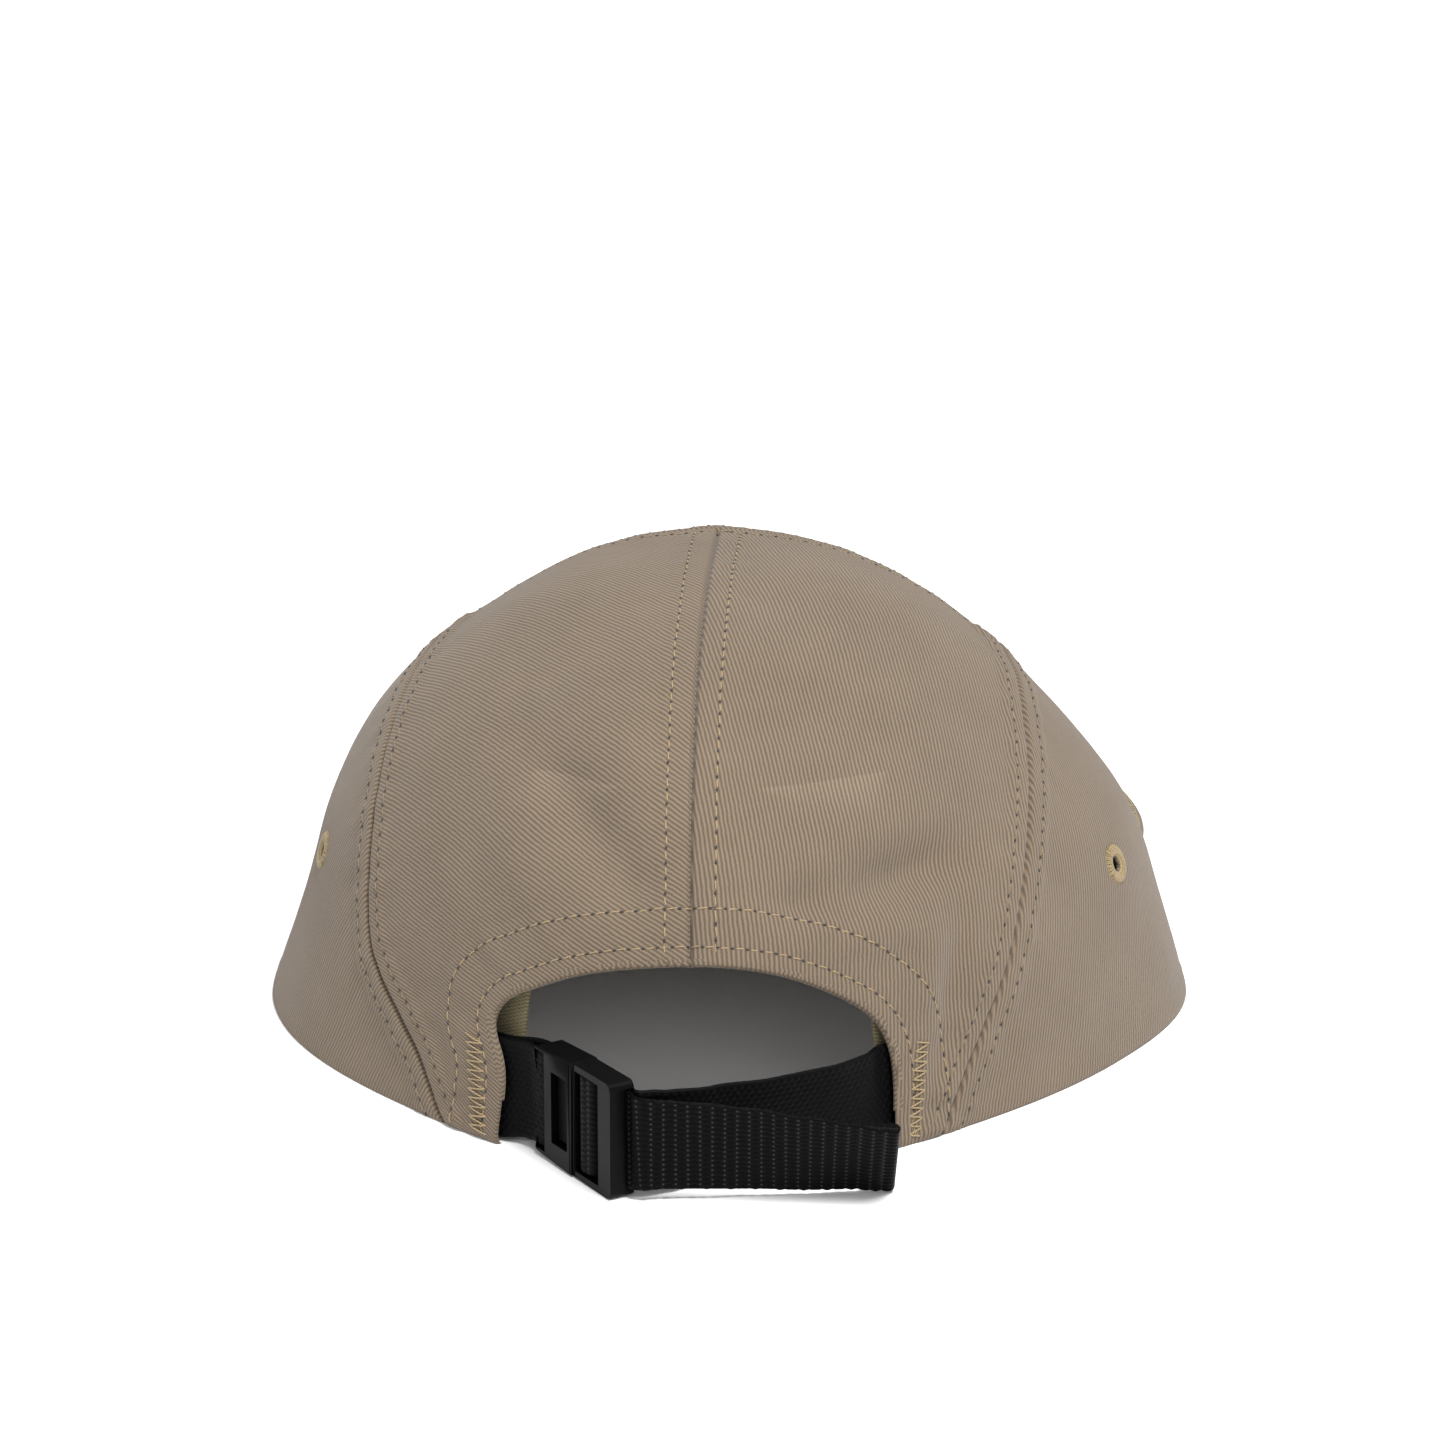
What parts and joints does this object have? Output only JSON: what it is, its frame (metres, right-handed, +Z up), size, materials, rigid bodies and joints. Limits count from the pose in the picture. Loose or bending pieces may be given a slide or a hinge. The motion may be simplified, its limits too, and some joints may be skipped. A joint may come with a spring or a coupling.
{
  "type": "baseball cap",
  "caption": "Soft camp-style baseball cap with a flat visor, rear arch opening and an adjustable webbing strap closed by a two-part buckle.",
  "frame": {"origin": "centre of the head opening on the plane of the crown's lower edge", "axes": "+Z up through the crown, +Y forward to the visor, +X to the wearer's right"},
  "size_m": [0.1943, 0.2907, 0.0944],
  "materials": {
    "twill": "khaki cotton twill, matte",
    "binding": "ribbed cotton tape",
    "buckram": "open stiffened mesh cloth",
    "sweatband": "brushed cotton band",
    "thread": "polyester sewing thread, slight sheen",
    "webbing": "black woven webbing",
    "buckle": "black moulded acetal, fine spark texture",
    "board": "moulded visor board"
  },
  "bodies": {
    "crown": {"front_panel": "twill", "front_buckram": "buckram", "top_panel_left": "twill", "top_panel_right": "twill", "side_panel_left": "twill", "side_panel_right": "twill", "centre_seam_tape": "binding", "rear_seam_tape_left": "binding", "rear_seam_tape_right": "binding", "front_seam_tape_left": "binding", "front_seam_tape_right": "binding", "crown_seam_tape": "binding", "arch_facing": "binding", "sweatband": "sweatband", "embroidered_eyelets": "thread", "strap_bar_tacks": "thread", "strap_loop_left": "webbing", "strap_load": "webbing", "buckle_socket": "buckle"},
    "visor": {"visor_board": "board", "visor_top_cover": "twill", "visor_under_cover": "twill"},
    "plug": {"buckle_plug": "buckle"},
    "latch": {"latch_tongue": "buckle"},
    "tail": {"strap_tail": "webbing"}
  },
  "joints": [
    {"name": "visor_flex", "type": "hinge", "parent": "crown", "child": "visor", "pos_m": [0, 0.08, 0.0034], "axis": [1, 0, 0], "range_deg": [-10, 12], "stiffness_Nm_per_rad": 2},
    {"name": "buckle_release", "type": "slide", "parent": "crown", "child": "plug", "axis": [0.5736, -0.8192, 0], "range_m": [0, 0.016], "stiffness_N_per_m": 400, "deforming": ["strap_load"]},
    {"name": "latch_press", "type": "hinge", "parent": "plug", "child": "latch", "pos_m": [-0.02257, -0.105, 0.012], "axis": [0, 0, -1], "range_deg": [0, 7], "stiffness_Nm_per_rad": 0.3},
    {"name": "strap_adjust", "type": "slide", "parent": "plug", "child": "tail", "axis": [0.9986, 0.0523, 0], "range_m": [-0.01, 0.01], "stiffness_N_per_m": 400, "deforming": ["strap_tail"]}
  ]
}
